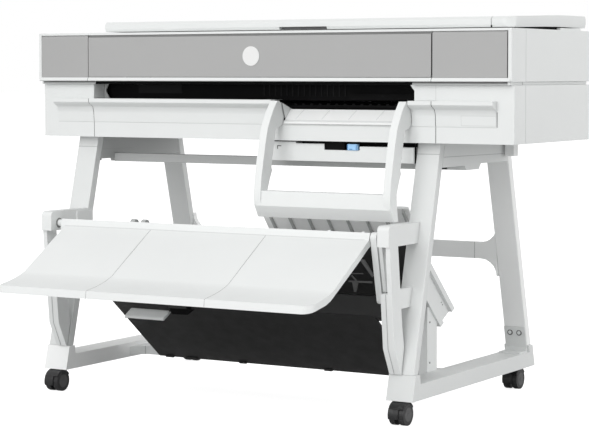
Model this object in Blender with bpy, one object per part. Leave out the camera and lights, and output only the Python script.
"""A 36-inch large format plotter with a scanner on top, on a wheeled stand with an output tray.

All dimensions are in millimetres in the plotter's own grid: X from the body's left end, Y backwards
from the front panels' plane, Z up from the grid's base. place() turns them into metres about the
origin, which is on the floor under the middle of the whole plotter.
"""

import math

import bmesh
import bpy
from mathutils import Vector

MM = 0.001
GAP = 0.3  # clearance kept between neighbouring pieces
SEAM = 0.8  # half of a visible seam between two covers
WALL = 4.0  # thickness of the moulded covers
SHEET = 2.5  # thickness of the stand's folded steel
FLOOR = 3.5  # the floor's height in the grid

# Body
WIDTH = 1390.0
BODY_BACK = 476.0
SIDE_SEAM = 82.0  # where the front mouldings meet the side covers
LOWER_BOTTOM = 671.0
LOWER_TOP = 811.0
LOWER_FACE = 17.0  # plane of the lower unit's front face
LOWER_LEFT = 5.0  # the lower unit's left end, a little inside the upper one's
UPPER_BOTTOM = 819.0
UPPER_TOP = 946.0
PANEL_BOTTOM = 829.0
PANEL_TOP = 934.3
BROW_BOTTOM = 940.0
PANEL_LEFT = 8.3
PANEL_RIGHT = 1380.7
DOOR_LEFT = 163.0
DOOR_RIGHT = 1180.0
LID_LEFT = 204.0
LID_RIGHT = 1327.0
LID_BOTTOM = 948.5
LID_TOP = 983.0  # at the back; the lid's front is lower
LID_FRONT = 20.0
LID_BACK = 461.0

# Paper exit and the ledge under it
EXIT_LEFT = 170.0
EXIT_RIGHT = 1126.0
COVER_RIGHT = 1184.0
LEDGE_TOP = 773.0
LEDGE_LEFT = 52.0
LEDGE_RIGHT = 1345.0

# Stand
LEG_WIDTH = 62.0
LEG_DEPTH = 24.0
LEFT_LEG = 97.0  # outer face of the left legs
RIGHT_LEG = 1119.0  # inner face of the right legs
LEG_TOP = LOWER_BOTTOM - GAP
FOOT_WIDTH = 72.0
FOOT_BOTTOM = 61.0
FOOT_TOP = 100.0
FRONT_LEG_SLOPE = 0.2537
REAR_LEG_SLOPE = 0.2547

# Casters
WHEEL_RADIUS = 26.5
AXLE_HEIGHT = FLOOR + WHEEL_RADIUS
WHEEL_WIDTH = 40.0
CASTER_TRAIL = 25.0
FRONT_STEM = -70.0
REAR_STEM = 525.0

# Output tray
TRAY_LEFT = 190.0
TRAY_RIGHT = 1087.0
TRAY_PIVOT = (-124.0, 450.0)
PIN_RADIUS = 5.7
PIN_HOLE = 6.3

# Arm frame below the paper exit
ARM_LEFT = 737.0
ARM_RIGHT = 1119.0
ARM_WIDTH = 20.0
ARM_PIVOT = (-2.0, 764.0)
ARM_PIN = 3.6

# The whole plotter's middle, which is the model's origin
CENTRE_X = WIDTH / 2
CENTRE_Y = 95.5

FINISHES = {
    "white": ((0.83, 0.84, 0.83), 0.45, 0.0),
    "light": ((0.72, 0.73, 0.72), 0.5, 0.0),
    "grey": ((0.42, 0.42, 0.43), 0.4, 0.0),
    "black": ((0.012, 0.012, 0.013), 0.5, 0.0),
    "dark": ((0.03, 0.03, 0.032), 0.55, 0.0),
    "rubber": ((0.02, 0.02, 0.021), 0.8, 0.0),
    "blue": ((0.35, 0.62, 0.9), 0.4, 0.0),
    "steel": ((0.6, 0.6, 0.6), 0.35, 1.0),
    "glass": ((0.05, 0.06, 0.06), 0.1, 0.0),
}


def place(x, y, z):
    return Vector(((x - CENTRE_X) * MM, (y - CENTRE_Y) * MM, (z - FLOOR) * MM))


def rectangle(a, b):
    return [(a[0], b[0]), (a[1], b[0]), (a[1], b[1]), (a[0], b[1])]


def arc(centre, radius, start, end, steps):
    """Points on a circle from one angle to another, in degrees."""
    angles = [math.radians(start + (end - start) * i / steps) for i in range(steps + 1)]
    return [(centre[0] + radius * math.cos(a), centre[1] + radius * math.sin(a)) for a in angles]


def prism(axis, outline, low, high, shift=(0.0, 0.0)):
    """A shape extruded along an axis: its far end is moved sideways by shift."""
    return (axis, outline, low, high, shift)


def block(x, y, z):
    return prism("Z", rectangle(x, y), z[0], z[1])


def rod(axis, centre, radius, low, high, sides=24):
    return prism(axis, arc(centre, radius, 0, 360 - 360 / sides, sides - 1), low, high)


def corner(axis, point, along):
    a, b = point
    return {"X": (along, a, b), "Y": (a, along, b), "Z": (a, b, along)}[axis]


def mesh_of(name, shape, pivot):
    axis, outline, low, high, shift = shape
    far = [(a + shift[0], b + shift[1]) for a, b in outline]
    bm = bmesh.new()
    first = [bm.verts.new(place(*corner(axis, p, low)) - pivot) for p in outline]
    last = [bm.verts.new(place(*corner(axis, p, high)) - pivot) for p in far]
    bm.faces.new(first)
    bm.faces.new(last)
    for i in range(len(first)):
        j = (i + 1) % len(first)
        bm.faces.new((first[i], first[j], last[j], last[i]))
    bmesh.ops.recalc_face_normals(bm, faces=bm.faces)
    mesh = bpy.data.meshes.new(name)
    bm.to_mesh(mesh)
    bm.free()
    mesh.shade_smooth()
    mesh.set_sharp_from_angle(angle=math.radians(35))
    return mesh


def middle(shape):
    axis, outline, low, high, _ = shape
    centre = [sum(p[i] for p in outline) / len(outline) for i in (0, 1)]
    return corner(axis, centre, (low + high) / 2)


def link(name, mesh, pivot):
    found = bpy.data.objects.new(name, mesh)
    found.location = pivot
    bpy.context.scene.collection.objects.link(found)
    return found


def material(name, finish):
    colour, roughness, metallic = FINISHES[finish]
    made = bpy.data.materials.new(name)
    made.use_nodes = True
    shader = made.node_tree.nodes["Principled BSDF"]
    shader.inputs["Base Color"].default_value = (*colour, 1.0)
    shader.inputs["Roughness"].default_value = roughness
    shader.inputs["Metallic"].default_value = metallic
    made.diffuse_color = (*colour, 1.0)
    return made


def helper(body, shape, operation, number):
    """A hidden solid that a Boolean adds to the body or cuts from it."""
    name = f"{body.name}_{operation.lower()}_{number}"
    tool = link(name, mesh_of(name, shape, body.location), body.location)
    tool.hide_render = True
    tool.display_type = "WIRE"
    step = body.modifiers.new(name, "BOOLEAN")
    step.operation = operation
    step.solver = "EXACT"
    step.object = tool


def solid(name, finish, shapes, cuts=(), pivot=None):
    """One named piece: the first shape, with the others joined to it and the cuts taken away."""
    origin = place(*(pivot or middle(shapes[0])))
    body = link(name, mesh_of(name, shapes[0], origin), origin)
    for number, shape in enumerate(shapes[1:], 1):
        helper(body, shape, "UNION", number)
    for number, shape in enumerate(cuts, 1):
        helper(body, shape, "DIFFERENCE", number)
    body.data.materials.append(material(name, finish))
    return body


def front_leg_y(z):
    return 48.6 + (z - 662.4) * FRONT_LEG_SLOPE


def rear_leg_y(z):
    return 435.0 + (640.0 - z) * REAR_LEG_SLOPE


def leg_sides():
    """Each side's name, with the low X of its legs."""
    return (("left", LEFT_LEG), ("right", RIGHT_LEG))


def build_legs():
    for side, x in leg_sides():
        for place_name, front_y, bottom in (
            ("front", front_leg_y, 122 + GAP),
            ("rear", rear_leg_y, 118 + GAP),
        ):
            outline = [
                (front_y(LEG_TOP), LEG_TOP),
                (front_y(LEG_TOP) + LEG_DEPTH, LEG_TOP),
                (front_y(bottom) + LEG_DEPTH, bottom),
                (front_y(bottom), bottom),
            ]
            over, under = LEG_TOP + 2, bottom - 2
            bore = [
                (front_y(over) + SHEET, over),
                (front_y(over) + LEG_DEPTH - SHEET, over),
                (front_y(under) + LEG_DEPTH - SHEET, under),
                (front_y(under) + SHEET, under),
            ]
            solid(f"leg_{place_name}_{side}", "white", [prism("X", outline, x, x + LEG_WIDTH)],
                  [prism("X", bore, x + SHEET, x + LEG_WIDTH - SHEET)])


def build_top_rails():
    shallow, deep = 610.5, 599.0
    step_front, step_back = 186.0, 266.0
    behind = LEG_DEPTH + 0.4
    for side, x in leg_sides():
        outline = [
            (front_leg_y(LEG_TOP) + behind, LEG_TOP),
            (front_leg_y(shallow) + behind, shallow),
            (step_front, shallow),
            (step_front + 6, deep),
            (step_back, deep),
            (step_back + 12, 613),
            (rear_leg_y(613) - 0.4, 613),
            (rear_leg_y(LEG_TOP) - 0.4, LEG_TOP),
        ]
        over = LEG_TOP + 1
        pocket = [
            (front_leg_y(LEG_TOP) + behind + SHEET + 1, over),
            (front_leg_y(shallow) + behind + SHEET + 1, shallow + SHEET),
            (step_back + 12 - SHEET, shallow + SHEET),
            (step_back + 12 - SHEET, 613 + SHEET),
            (rear_leg_y(613) - 0.4 - SHEET, 613 + SHEET),
            (rear_leg_y(LEG_TOP) - 0.4 - SHEET, over),
        ]
        solid(f"top_rail_{side}", "light", [prism("X", outline, x, x + LEG_WIDTH)],
              [prism("X", pocket, x + SHEET, x + LEG_WIDTH - SHEET)])


def build_feet():
    """Each foot carries its two legs' ends, and the angle plate that bolts the rear leg down."""
    outline = [
        (front_leg_y(FOOT_BOTTOM), FOOT_BOTTOM),
        (rear_leg_y(FOOT_BOTTOM) + LEG_DEPTH, FOOT_BOTTOM),
        (rear_leg_y(118) + LEG_DEPTH, 118),
        (rear_leg_y(118), 118),
        (rear_leg_y(FOOT_TOP) - 0.4, FOOT_TOP),
        (front_leg_y(FOOT_TOP) + LEG_DEPTH + 8, FOOT_TOP),
        (front_leg_y(122) + LEG_DEPTH, 122),
        (front_leg_y(122), 122),
    ]
    plate = 4.0
    angle = [
        (rear_leg_y(FOOT_TOP) - 52, FOOT_TOP - 2),
        (rear_leg_y(FOOT_TOP) - 52, FOOT_TOP + plate),
        (rear_leg_y(FOOT_TOP) - 14, FOOT_TOP + plate),
        (rear_leg_y(113) - plate - 0.4, 113),
        (rear_leg_y(168) - plate - 0.4, 168),
        (rear_leg_y(168) - 0.4, 168),
        (rear_leg_y(FOOT_TOP - 2) - 0.4, FOOT_TOP - 2),
    ]
    for side, x in leg_sides():
        low = x - (FOOT_WIDTH - LEG_WIDTH) / 2
        sockets = [
            rod("Z", (x + LEG_WIDTH / 2, y), PIN_HOLE, FOOT_BOTTOM - 1, FOOT_BOTTOM + 25, 16)
            for y in (FRONT_STEM, REAR_STEM)
        ]
        shapes = [
            prism("X", outline, low, low + FOOT_WIDTH),
            prism("X", angle, x + 1, x + LEG_WIDTH - 1),
        ]
        bolt_y = rear_leg_y(152) - plate - 0.4
        for bolt_x in (x + 18, x + LEG_WIDTH - 18):
            shapes.append(rod("Y", (bolt_x, 152), 5, bolt_y - 2.5, bolt_y + 2, 12))
        channel = block((low + SHEET, low + FOOT_WIDTH - SHEET), (-15, 485),
                        (FOOT_BOTTOM - 1, FOOT_TOP - SHEET))
        solid(f"foot_{side}", "white", shapes, sockets + [channel])


def flare(end, inward, centre, half, radius):
    """The outline of a beam's end, widened by a round gusset above and below."""
    reach = end + inward * radius
    top = arc((reach, centre + half + radius), radius, 270, 270 - 90 * inward, 5)
    bottom = arc((reach, centre - half - radius), radius, 90 + 90 * inward, 90, 5)
    return top, bottom


def build_cross_beams():
    left = LEFT_LEG + LEG_WIDTH + GAP
    right = RIGHT_LEG - GAP
    through = (left - 1, right + 1)
    solid("cross_beam_top", "light", [block((left, right), (122, 146), (602, 624))],
          [block(through, (122 + SHEET, 146 - SHEET), (602 + SHEET, 624 - SHEET))])

    centre, half, radius = 371.0, 22.0, 46.0
    left_top, left_bottom = flare(left, 1, centre, half, radius)
    right_top, right_bottom = flare(right, -1, centre, half, radius)
    outline = left_bottom + right_bottom[::-1] + right_top[::-1] + left_top
    front = rear_leg_y(centre) + 3
    depth = 18.0
    bore = block(through, (front + SHEET, front + depth - SHEET),
                 (centre - half + SHEET, centre + half - SHEET))
    solid("cross_beam_rear", "light", [prism("Y", outline, front, front + depth)], [bore])

    foot_left = LEFT_LEG + LEG_WIDTH + 5 + GAP
    foot_right = RIGHT_LEG - 5 - GAP
    centre, half, radius = 244.0, 17.0, 45.0
    left_top, left_bottom = flare(foot_left, 1, centre, half, radius)
    right_top, right_bottom = flare(foot_right, -1, centre, half, radius)
    outline = left_bottom + right_bottom[::-1] + right_top[::-1] + left_top
    bore = block((foot_left - 1, foot_right + 1), (centre - half + SHEET, centre + half - SHEET),
                 (65 + SHEET, 89 - SHEET))
    solid("cross_beam_low", "white", [prism("Z", outline, 65, 89)], [bore])


def build_tray_brackets():
    """An F-shaped bracket on each front leg: the tray's pivot is in its top arm."""
    def leg(z):
        return front_leg_y(z) - 0.4

    upper = [(-111, 431), (-158, 431)] + arc((-146, 469), 12, 180, 90, 4)
    upper += [(leg(481), 481), (leg(431), 431)]
    post = [
        (-152.7, 432), (-128, 188), (-96, 124), (-91.5, 122.5), (-79, 188), (-89, 240),
        (-93.7, 281), (leg(281), 281), (leg(328), 328), (-99, 328), (-111, 432),
    ]
    lower = [(-141, 319), (-128, 188), (-96, 124), (-91.5, 122.5), (-79, 188), (-89, 240),
             (-93.7, 281), (-98, 319)]
    for side, x in leg_sides():
        inner, outer = (128, 159) if side == "left" else (1119, 1150)
        thin = (128, 140) if side == "left" else (1138, 1150)
        face = x + LEG_WIDTH if side == "left" else x
        way = 1 if side == "left" else -1
        wrap = sorted((face + way * 0.4, face + way * 4))
        root = sorted((face - way * 12, face + way * 4))
        shapes = [
            prism("X", upper, inner, outer),
            prism("X", post, *thin),
            prism("X", lower, inner, outer),
            block(root, (-50, -14), (442, 476)),
            block(wrap, (-30, 18), (442, 476)),
        ]
        reach = (139, outer + 1) if side == "left" else (inner - 1, 1139)
        hole = rod("X", TRAY_PIVOT, PIN_HOLE, *reach, 20)
        solid(f"tray_bracket_{side}", "white", shapes, [hole])


def build_tray():
    """Three panels in a row under one rear bar, turned down at the back and curved up at the front."""
    top = [(-137, 446), (-206, 404), (-308, 341), (-328, 333), (-349, 327), (-373, 321.5),
           (-413, 315)]
    under = [(-415, 296), (-389, 302), (-345, 310), (-322, 318), (-200, 389), (-137, 428)]
    panel = prism("X", top + under, TRAY_LEFT, TRAY_RIGHT)
    bar = [(-112, 440), (-112, 460), (-134, 462), (-139, 446), (-139, 426), (-131, 430)]
    slices = []
    for x, inward, rounded in ((TRAY_LEFT, 1, 14.0), (TRAY_RIGHT, -1, 26.0)):
        centre = (x + inward * rounded, -415 + rounded)
        bend = arc(centre, rounded, 270, 270 - 90 * inward, 8)
        slices.append(prism("Z", bend + [(x - inward, -415 + rounded), (x - inward, -417),
                                         (x + inward * rounded, -417)], 280, 340))
    shapes = [panel, prism("X", bar, TRAY_LEFT - 14, TRAY_RIGHT)]
    shapes.append(rod("X", TRAY_PIVOT, PIN_RADIUS, 140, 1138, 16))
    solid("tray", "white", shapes, slices, pivot=(640, *TRAY_PIVOT))


def build_tray_link():
    """A slotted brace that hangs from the tray's right pivot."""
    y, z = TRAY_PIVOT
    length, lean = 152.0, 12.0
    low = (y + length * math.sin(math.radians(lean)), z - length * math.cos(math.radians(lean)))
    outline = arc((y, z), 13, lean, 180 + lean, 8) + arc(low, 12, 180 + lean, 360 + lean, 8)
    x = TRAY_RIGHT + 1.5
    hole = rod("X", TRAY_PIVOT, PIN_HOLE, x - 1, x + 17, 20)
    solid("tray_link", "light", [prism("X", outline, x, x + 16)], [hole], pivot=(x, *TRAY_PIVOT))


def build_bin():
    """The black panel below the tray, with the beam along its top edge."""
    slope = 0.783
    front, back = -10.0, 221.0
    thick = 5.0
    top = 246.0
    low = top - (back - front) * slope
    panel = [(back, low), (back, low + thick), (front + 6, top + thick - 4), (front, top)]
    beam = [(-8, 244), (22, 232), (22, 295), (-8, 295)]
    stop = [(-16, 222), (8, 226), (8, 252), (-16, 252)]
    shapes = [
        prism("X", panel, 238, 1032),
        prism("X", beam, 238, 1112),
        prism("X", stop, 430, 484),
    ]
    solid("bin_panel", "black", shapes)
    hinge = (2.0, 219.0)
    plate = [(4, 216), (6, 221), (0, 223), (-29, 207), (-32, 201), (-28, 199)]
    solid("paddle", "light", [prism("X", plate, 300, 423)], pivot=(361, *hinge))


def build_chute():
    """A ribbed slide that carries cut sheets down behind the tray, between two end channels."""
    top, bottom = 516.0, 253.0
    front, back = 30.0, 250.0
    left, right = 671.0, 1104.0
    pitch, rib, height = 56.0, 5.0, 10.0
    plate = 7.0
    comb = [(right, top), (left, top), (left, top - plate)]
    count = round((right - left) / pitch)
    for i in range(count):
        x = left + (i + 0.5) * pitch
        comb += [(x - rib, top - plate), (x - rib, top - plate - height),
                 (x, top - plate - height), (x, top - plate)]
    comb.append((right, top - plate))
    slide = prism("Y", comb, front, back, (0.0, bottom - top))
    solid("chute", "light", [slide])

    channel = [(20, 470), (258, 245), (180, 206), (20, 357)]
    recess = [(25, 443), (257, 223.5), (211.7, 200.9), (25, 377.3)]
    short = [(110, 385), (258, 245), (180, 206), (70, 310)]
    solid(
        "chute_end_right", "white",
        [prism("X", channel, right + GAP, 1118.7), block((1090, 1113.7), (114, 168), (62, 262))],
        [prism("X", recess, 1110, 1120), block((1080, 1104), (100, 180), (224, 300))],
    )
    solid(
        "chute_end_left", "white",
        [prism("X", short, 656, left - GAP), block((656, left - GAP), (228, 258), (89 + GAP, 262))],
        [prism("X", recess, 655, 664)],
    )


# The lip of the ledge, the hollow below it and a slight slope down to the face
LEDGE_CURVE = [(-9, LEDGE_TOP), (-9, 763.5), (-5, 759), (3, 755), (9, 751.5), (13.5, 746.5),
               (16.3, 711.5), (LOWER_FACE, 711)]


def ledge_outline(inner):
    """The ledge's curve, closed at the inner Y."""
    return LEDGE_CURVE + [(inner, 711), (inner, LEDGE_TOP)]


def build_front():
    """The lower unit's front: a centre cover with the ledge, and an end moulding on each side."""
    skin = 3.5
    face = LOWER_FACE
    shell = LEDGE_CURVE + [
        (face, LOWER_BOTTOM), (face + skin, LOWER_BOTTOM), (face + skin, 712), (17.3, 748),
        (12.5, 754.5), (5, 758.8), (-2, 762.5), (-4, LEDGE_TOP - skin),
        (60, LEDGE_TOP - skin), (60, LEDGE_TOP),
    ]
    notch = (ARM_LEFT - 1.5, ARM_RIGHT + 1.5)
    inner = (ARM_LEFT + ARM_WIDTH + 1.5, ARM_RIGHT - ARM_WIDTH - 1.5)
    ramp = [(face, 710), (12, 713), (51, 749), (60, 749), (60, 745), (52, 745), (20.5, 713.5),
            (20.5, 710)]
    wall = LEDGE_CURVE + [(face + skin, 711), (60, 745), (60, LEDGE_TOP)]
    away = [(-20, 780), (-20, 714), (10, 714), (49, 750), (70, 750), (70, 780)]
    arm_slot = [(-20, 780), (-20, 712), (17, 712), (21, 727), (11, 752), (6, 766.5),
                (57, 749.5), (70, 749.5), (70, 780)]
    shapes = [
        prism("X", shell, EXIT_LEFT + SEAM, COVER_RIGHT - SEAM),
        prism("X", ramp, notch[0] - 2, notch[1] + 2),
        prism("X", wall, notch[0] - WALL, inner[0]),
        prism("X", wall, inner[1], notch[1] + WALL),
    ]
    cuts = [
        prism("X", away, *inner),
        prism("X", arm_slot, notch[0], inner[0]),
        prism("X", arm_slot, inner[1], notch[1]),
        rod("X", ARM_PIVOT, ARM_PIN + 0.6, notch[0] - WALL - 1, notch[1] + WALL + 1, 16),
    ]
    solid("front_cover", "white", shapes, cuts)

    for side in ("left", "right"):
        left = side == "left"
        x = (LOWER_LEFT, EXIT_LEFT - SEAM) if left else (COVER_RIGHT + SEAM, WIDTH)
        cheek = (LOWER_LEFT, LOWER_LEFT + WALL) if left else (WIDTH - WALL, WIDTH)
        ledge = (LEDGE_LEFT, x[1]) if left else (x[0], LEDGE_RIGHT)
        shapes = [
            block(x, (face, face + skin), (LOWER_BOTTOM, LOWER_TOP)),
            block(cheek, (face, SIDE_SEAM - SEAM), (LOWER_BOTTOM, LOWER_TOP)),
            prism("X", ledge_outline(face + 1), *ledge),
        ]
        if left:
            reveal = (EXIT_LEFT - SEAM - WALL, EXIT_LEFT - SEAM)
            shapes.append(block(reveal, (face, 62), (LEDGE_TOP + GAP, LOWER_TOP)))
        else:
            insert = [(EXIT_RIGHT, LEDGE_TOP + GAP), (COVER_RIGHT + 2, LEDGE_TOP + GAP),
                      (COVER_RIGHT + 2, LOWER_TOP), (EXIT_RIGHT - 11, LOWER_TOP),
                      (EXIT_RIGHT, LOWER_TOP - 14)]
            shapes.append(prism("Y", insert, face, face + skin))
            reveal = (EXIT_RIGHT, EXIT_RIGHT + WALL)
            shapes.append(block(reveal, (face, 62), (LEDGE_TOP + GAP, LOWER_TOP)))
        solid(f"front_end_{side}", "white", shapes)


def build_lower_body():
    back = BODY_BACK
    for side in ("left", "right"):
        left = side == "left"
        plate = (LOWER_LEFT, LOWER_LEFT + WALL) if left else (WIDTH - WALL, WIDTH)
        turn = (LOWER_LEFT, 60 - GAP) if left else (WIDTH - 60 + GAP, WIDTH)
        shapes = [
            block(plate, (SIDE_SEAM + SEAM, back), (LOWER_BOTTOM, LOWER_TOP)),
            block(turn, (back - WALL, back), (LOWER_BOTTOM, LOWER_TOP)),
        ]
        solid(f"side_cover_lower_{side}", "white", shapes)
    solid("bottom_pan", "light",
          [block((LOWER_LEFT + WALL + GAP, WIDTH - WALL - GAP), (21, 467),
                 (LOWER_BOTTOM, LOWER_BOTTOM + 2))])
    deck = [(24, LOWER_TOP + GAP), (24, UPPER_BOTTOM - GAP), (466, UPPER_BOTTOM - GAP),
            (466, LOWER_TOP + GAP), (460, LOWER_TOP + GAP), (460, 815), (30, 815),
            (30, LOWER_TOP + GAP)]
    solid("mid_deck", "dark", [prism("X", deck, 12, WIDTH - 12)])
    hinge = (474.0, 680.0)
    bottom = LOWER_BOTTOM + WALL + GAP
    door = [(back - WALL, bottom), (back, bottom), (back, LOWER_TOP), (back - WALL, LOWER_TOP)]
    grip = block((640, 750), (back - 1.5, back + 1), (770, 795))
    solid("roll_door", "white", [prism("X", door, 60, WIDTH - 60)], [grip],
          pivot=(CENTRE_X, *hinge))
    solid("power_inlet", "white", [block((1188, 1213), (405, 432), (627, LOWER_BOTTOM - GAP))],
          [block((1193, 1208), (420, 434), (636, 660))])


def build_paper_path():
    """What carries the paper and the ink inside the lower unit."""
    left, right = EXIT_LEFT - 10, EXIT_RIGHT + 4
    base, top, tooth = 752.0, 764.0, 5.0
    pitch = 24.0
    comb = [(left, base), (right, base)]
    count = int((right - left) // pitch)
    for i in range(count, -1, -1):
        x = left + i * pitch
        comb += [(min(x + 8, right), top - 4), (min(x + 8, right), top), (x, top), (x, top - 4)]
    solid("platen", "black", [prism("Y", comb, 64, 170)])
    rail_outline = [(206, 768), (236, 768), (236, 772), (210, 772), (210, 802), (236, 802),
                    (236, 806), (206, 806)]
    ends = (28.0, WIDTH - 28.0)
    solid("carriage_rail", "steel", [prism("X", rail_outline, *ends)])
    carriage = [(92, 768), (164, 768), (164, 797), (205.4, 797), (205.4, 806), (92, 806)]
    solid("carriage", "dark", [prism("X", carriage, 1200, 1310)], pivot=(1255, 205, 800))
    drive = (186.0, 754.0)
    shapes = [rod("X", drive, 5, *ends, 12), rod("X", drive, 12, left + 4, right - 4, 20)]
    solid("drive_roller", "rubber", shapes, pivot=(CENTRE_X, *drive))
    pinch = (186.0, 778.5)
    shapes = [rod("X", pinch, 4, left, right + 30, 12)]
    for i in range(8):
        x = left + 40 + i * 120
        shapes.append(rod("X", pinch, 12, x, x + 50, 16))
    solid("pinch_rollers", "rubber", shapes, pivot=(CENTRE_X, *pinch))
    solid("service_station", "dark",
          [block((1150, 1340), (88, 176), (LOWER_BOTTOM + WALL + GAP, 764))],
          [block((1180, 1310), (100, 164), (744, 770))])
    tanks = [(34, 680), (156, 680)]
    for i in range(3, -1, -1):
        x = 34 + i * 31
        tanks += [(x + 29, 700), (x + 29, 744), (x, 744), (x, 700)]
    solid("ink_cartridges", "dark", [prism("Y", tanks, 96, 300)])
    solid("electronics_box", "steel",
          [block((1000, 1330), (250, 335), (LOWER_BOTTOM + WALL + GAP, 750))],
          [block((1002, 1328), (252, 333), (LOWER_BOTTOM + WALL + 2, 752))])
    spindle = (392.0, 735.0)
    shapes = [rod("X", spindle, 9, 70, 1320, 16)]
    for x in (150, 1122):
        shapes.append(rod("X", spindle, 40, x, x + 12, 28))
    solid("roll_spindle", "dark", shapes, pivot=(CENTRE_X, *spindle))


def build_scanner_housing():
    face_x = (0.0, WIDTH)
    rim = [(0, 822), (2, UPPER_BOTTOM), (SIDE_SEAM - SEAM, UPPER_BOTTOM),
           (SIDE_SEAM - SEAM, UPPER_TOP), (0, UPPER_TOP)]
    chin = [(0, PANEL_BOTTOM - GAP), (-4, 822), (-4, 820.5), (-1, UPPER_BOTTOM),
            (30, UPPER_BOTTOM), (30, 823), (12, 823), (8, PANEL_BOTTOM - GAP)]
    pan = block((WALL + GAP, WIDTH - WALL - GAP), (20, 466), (UPPER_BOTTOM, 823))
    brow = [(0, BROW_BOTTOM), (0, UPPER_TOP), (SIDE_SEAM - GAP, UPPER_TOP), (SIDE_SEAM - GAP, 943),
            (6, 943), (6, BROW_BOTTOM)]
    shapes = [
        prism("X", chin, WALL - 1, WIDTH - WALL + 1),
        pan,
        prism("X", brow, *face_x),
        prism("X", rim, 0, WALL),
        prism("X", rim, WIDTH - WALL, WIDTH),
        block((0, PANEL_LEFT - GAP), (0, 5), (PANEL_BOTTOM - 2, 942)),
        block((PANEL_RIGHT + GAP, WIDTH), (0, 5), (PANEL_BOTTOM - 2, 942)),
    ]
    solid("scanner_housing", "white", shapes)
    for side in ("left", "right"):
        left = side == "left"
        plate = (0.0, WALL) if left else (WIDTH - WALL, WIDTH)
        solid(f"side_cover_upper_{side}", "white",
              [block(plate, (SIDE_SEAM + SEAM, BODY_BACK), (UPPER_BOTTOM, UPPER_TOP))])
    back = BODY_BACK
    cover = [(SIDE_SEAM, UPPER_TOP), (back, UPPER_TOP), (back, UPPER_BOTTOM),
             (back - WALL, UPPER_BOTTOM), (back - WALL, UPPER_TOP - WALL),
             (SIDE_SEAM, UPPER_TOP - WALL)]
    ear = block((188, LID_LEFT - 0.5), (444, 462), (UPPER_TOP - 1, 971))
    plinth = block((1330, 1386), (296, 425), (UPPER_TOP - 1, 951))
    slot = block((216, 1180), (120, 260), (UPPER_TOP - WALL - 1, UPPER_TOP + 1))
    hole = rod("X", (452, 962), 3.6, 180, LID_LEFT + 4, 14)
    solid("top_rear_cover", "white",
          [prism("X", cover, WALL + GAP, WIDTH - WALL - GAP), ear, plinth], [slot, hole])


def build_scanner():
    """The front panels, the door between them, the lid, and the image sensor with its roller."""
    thick = 3.5
    panel = [(0, PANEL_BOTTOM), (thick, PANEL_BOTTOM), (thick, BROW_BOTTOM - GAP),
             (0, PANEL_TOP)]
    solid("panel_left", "grey", [prism("X", panel, PANEL_LEFT, DOOR_LEFT - SEAM)])
    solid("control_panel", "grey",
          [prism("X", panel, DOOR_RIGHT + 3 * SEAM, PANEL_RIGHT - 3 * SEAM)])
    door = [(0, PANEL_BOTTOM + 0.7), (thick, PANEL_BOTTOM + 0.7), (thick, PANEL_TOP),
            (0, PANEL_TOP)]
    solid("scan_door", "grey", [prism("X", door, DOOR_LEFT + SEAM, DOOR_RIGHT - SEAM)],
          pivot=(CENTRE_X, 1.7, PANEL_BOTTOM + 2.5))
    lid_top = [(LID_BACK, 976), (455, LID_TOP), (370, LID_TOP), (281, 982), (196, 979.6),
               (100, 976.5), (LID_FRONT + 8, 974), (LID_FRONT, 968), (LID_FRONT, 956)]
    lid = [(LID_FRONT + 4, LID_BOTTOM), (452, LID_BOTTOM), (459, 959)] + lid_top
    grip = block((742, 879), (LID_FRONT - 1, LID_FRONT + 14), (LID_BOTTOM - 1, 955.5))
    hollow = block((240, 1290), (60, 430), (LID_BOTTOM - 1, 968))
    axis = (452, 962)
    pins = [rod("X", axis, 3, 192, LID_LEFT + 6, 12), rod("X", axis, 3, LID_RIGHT - 6, 1340, 12)]
    solid("scanner_lid", "white", [prism("X", lid, LID_LEFT, LID_RIGHT)] + pins, [grip, hollow],
          pivot=(CENTRE_X, *axis))
    cap = [(LID_FRONT + 4, LID_BOTTOM), (63, 949), (144, 951), (227, 953), (304, 954),
           (LID_BACK, 953.3)] + lid_top
    right, bend = 1385.0, 30.0
    outer = arc((right - bend, LID_FRONT + bend), bend, 270, 360, 6)
    trim = prism("Z", outer + [(right + 1, LID_FRONT + bend), (right + 1, LID_FRONT - 1),
                               (right - bend, LID_FRONT - 1)], LID_BOTTOM - 1, LID_TOP + 1)
    under = prism("Y", [(right + 1, 963), (right, 963), (right - 4, 948), (right + 1, 948)],
                  LID_FRONT - 1, LID_BACK + 1)
    solid("lid_cap", "white", [prism("X", cap, LID_RIGHT + 1.6, right)],
          [trim, under, rod("X", axis, 3.6, LID_RIGHT, 1342, 14)])
    roller = (190.0, 921.0)
    solid("scan_bar", "black", [
        block((200, 1195), (140, 240), (856, 905)),
        block((186, 201), (140, 240), (823 + GAP, 932)),
        block((1194, 1209), (140, 240), (823 + GAP, 932)),
    ], [rod("X", roller, 4.8, 180, 1215, 14)])
    solid("scan_roller", "rubber",
          [rod("X", roller, 4.2, 188, 1207, 12), rod("X", roller, 14, 210, 1185, 20)],
          pivot=(CENTRE_X, *roller))


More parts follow.
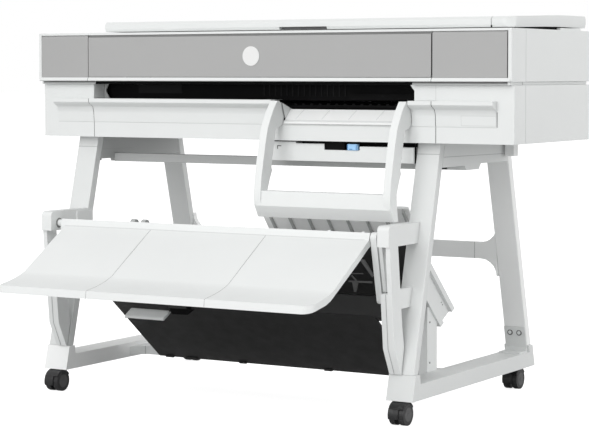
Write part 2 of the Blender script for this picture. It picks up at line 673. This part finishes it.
def build_arm_frame():
    front = [(-3, 771), (-12, 771), (-35, 744), (-58, 704), (-69, 666), (-78, 627), (-87, 588),
             (-93, 548), (-94, 530), (-90, 513), (-72, 484)]
    back = [(-52, 484), (-58, 520), (-59.5, 549), (-47.5, 579), (-37, 598), (-41, 607),
            (-27, 667), (-22, 691), (-20, 700.5), (3, 707), (15, 714.5), (18.5, 727), (8, 752),
            (2, 766)]
    bar = [(-89, 550), (-91, 513), (-72, 484), (-52, 484), (-58, 520), (-60, 550)]
    shapes = [
        prism("X", front + back, ARM_LEFT, ARM_LEFT + ARM_WIDTH),
        prism("X", bar, ARM_LEFT + 5, ARM_RIGHT - 5),
        prism("X", front + back, ARM_RIGHT - ARM_WIDTH, ARM_RIGHT),
        rod("X", ARM_PIVOT, ARM_PIN, ARM_LEFT - 4, ARM_LEFT + 5, 14),
        rod("X", ARM_PIVOT, ARM_PIN, ARM_RIGHT - 5, ARM_RIGHT + 4, 14),
    ]
    solid("arm_frame", "white", shapes, pivot=(928, *ARM_PIVOT))


def build_latch():
    """The white carrier under the body, with the blue slider that releases it."""
    base = 649.0
    carrier = [(30, 620), (30, base), (100, base), (110, 640), (110, 620)]
    shapes = [
        prism("X", carrier, 690, 1117),
        block((690, 786), (30, 60), (base - 2, LOWER_BOTTOM - GAP)),
        block((784, 868), (30, 60), (base - 2, 664)),
        block((968, 1117), (30, 60), (base - 2, 659)),
        block((700, 1100), (80, 100), (base - 2, LOWER_BOTTOM - GAP)),
    ]
    solid("latch_carrier", "white", shapes)
    solid("latch", "blue", [block((935, 964), (26, 38), (base + GAP, 665))], pivot=(950, 32, 650))


def build_caster(name, x, stem_y, trail):
    """A swivel fork with a hood, and a twin wheel on one axle through it."""
    axle = (stem_y + trail, AXLE_HEIGHT)
    web = 4.0
    knee = (axle[0] + math.copysign(10, trail), 50)
    head = [(stem_y + 12, 60), (stem_y - 12, 60)]
    plate = arc(axle, 10, 180, 360, 6)
    plate += [knee] + head if trail > 0 else head + [knee]
    inner, outer = WHEEL_RADIUS + 1, WHEEL_RADIUS + 3.8
    hood = arc(axle, outer, 30, 150, 8) + arc(axle, inner, 150, 30, 8)
    half = WHEEL_WIDTH / 2
    shapes = [
        prism("X", plate, x - web, x + web),
        prism("X", hood, x - half, x + half),
        rod("Z", (x, stem_y), 12, 55, FOOT_BOTTOM - GAP, 16),
        rod("Z", (x, stem_y), PIN_RADIUS, 58, FOOT_BOTTOM + 20, 16),
    ]
    solid(f"caster_fork_{name}", "dark", shapes, [rod("X", axle, 4.4, x - 10, x + 10, 14)],
          pivot=(x, stem_y, FOOT_BOTTOM))
    shapes = [
        rod("X", axle, 3.8, x - half + 2, x + half - 2, 12),
        rod("X", axle, WHEEL_RADIUS, x - half, x - web - 1, 28),
        rod("X", axle, WHEEL_RADIUS, x + web + 1, x + half, 28),
    ]
    solid(f"caster_wheel_{name}", "dark", shapes, pivot=(x, *axle))


def build_casters():
    for side, leg_x in leg_sides():
        x = leg_x + LEG_WIDTH / 2
        build_caster(f"front_{side}", x, FRONT_STEM, -CASTER_TRAIL)
        build_caster(f"rear_{side}", x, REAR_STEM, CASTER_TRAIL)


def main():
    for old in list(bpy.data.objects):
        bpy.data.objects.remove(old, do_unlink=True)
    build_legs()
    build_top_rails()
    build_feet()
    build_cross_beams()
    build_tray_brackets()
    build_tray()
    build_tray_link()
    build_bin()
    build_chute()
    build_front()
    build_lower_body()
    build_paper_path()
    build_scanner_housing()
    build_scanner()
    build_arm_frame()
    build_latch()
    build_casters()


main()
